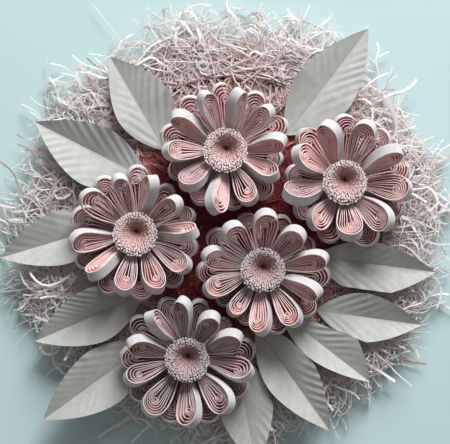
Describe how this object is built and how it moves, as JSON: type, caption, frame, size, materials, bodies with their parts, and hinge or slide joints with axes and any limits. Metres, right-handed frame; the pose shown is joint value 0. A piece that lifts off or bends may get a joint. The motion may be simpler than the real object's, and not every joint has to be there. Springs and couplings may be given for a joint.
{
  "type": "quilled paper flower arrangement",
  "caption": "Round arrangement of quilled coil-petal flowers with fringed centres, folded paper leaves and a nest of crinkled paper shreds on a flat card base.",
  "frame": {"origin": "middle of the base board's back face", "axes": "+Z out of the work, away from the base board's back; +Y towards the work's top as it is seen from the front"},
  "size_m": [0.2135, 0.2163, 0.0405],
  "materials": {
    "petal_paper": "matt pale pink strip, rosier in the depth of the coils",
    "fringe_paper": "matt pale pink cut fringe",
    "leaf_paper": "matt cream white, creased",
    "shred_paper": "matt white to pale pink, crinkled",
    "base_card": "matt"
  },
  "bodies": {
    "root": {"base_board": "base_card", "shred_nest": "shred_paper", "shred_lock_01": "shred_paper", "shred_lock_02": "shred_paper", "shred_lock_03": "shred_paper", "shred_lock_04": "shred_paper", "shred_lock_05": "shred_paper", "shred_lock_06": "shred_paper", "shred_lock_07": "shred_paper", "shred_lock_08": "shred_paper", "shred_lock_09": "shred_paper", "shred_lock_10": "shred_paper", "shred_lock_11": "shred_paper", "shred_lock_12": "shred_paper", "leaf_01": "leaf_paper", "leaf_02": "leaf_paper", "leaf_03": "leaf_paper", "leaf_04": "leaf_paper", "leaf_05": "leaf_paper", "leaf_06": "leaf_paper", "leaf_07": "leaf_paper", "leaf_08": "leaf_paper", "leaf_09": "leaf_paper", "leaf_10": "leaf_paper", "leaf_11": "leaf_paper", "left_flower_lower_petals": "petal_paper", "left_flower_upper_petals": "petal_paper", "left_flower_fringe": "fringe_paper", "top_flower_lower_petals": "petal_paper", "top_flower_upper_petals": "petal_paper", "top_flower_fringe": "fringe_paper", "right_flower_lower_petals": "petal_paper", "right_flower_upper_petals": "petal_paper", "right_flower_fringe": "fringe_paper", "middle_flower_lower_petals": "petal_paper", "middle_flower_upper_petals": "petal_paper", "middle_flower_fringe": "fringe_paper", "bottom_flower_lower_petals": "petal_paper", "bottom_flower_upper_petals": "petal_paper", "bottom_flower_fringe": "fringe_paper"}
  },
  "joints": []
}
